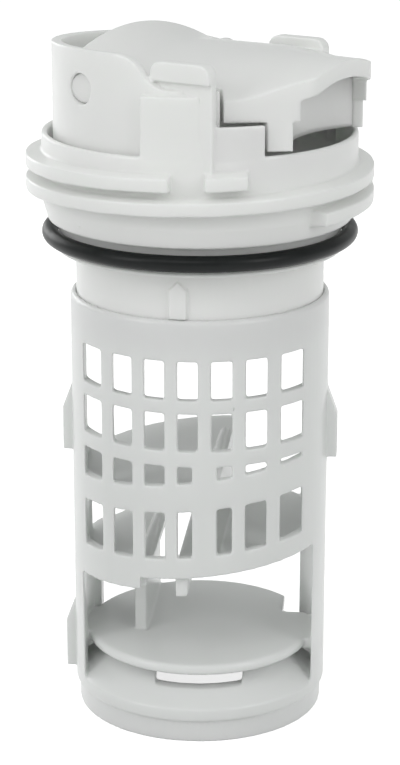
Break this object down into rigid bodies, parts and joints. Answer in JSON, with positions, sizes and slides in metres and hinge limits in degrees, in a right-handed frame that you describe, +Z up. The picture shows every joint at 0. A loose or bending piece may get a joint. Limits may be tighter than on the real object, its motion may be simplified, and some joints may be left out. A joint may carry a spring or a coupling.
{
  "type": "washing machine pump filter",
  "caption": "Drain pump filter of a washing machine: screw cap with a fold-up drain lever, black rubber seal ring and a lattice basket with sloped shelves that catches lint.",
  "frame": {"origin": "middle of the lower edge of the basket's foot", "axes": "+Z up along the screw axis, from foot to cap; -Y towards the lattice side of the basket; +X to the right seen from that side"},
  "size_m": [0.06, 0.06, 0.122],
  "materials": {
    "white_plastic": "glossy moulded",
    "seal_rubber": "smooth, slightly wet"
  },
  "bodies": {
    "filter": {"filter_basket": "white_plastic", "screw_cap": "white_plastic", "seal_ring": "seal_rubber"},
    "lever": {"drain_lever": "white_plastic"}
  },
  "joints": [
    {"name": "lever_hinge", "type": "hinge", "parent": "filter", "child": "lever", "pos_m": [-0.00743, 0.0037, 0.1144], "axis": [-0.4462, -0.8949, 0], "range_deg": [0, 75]}
  ]
}
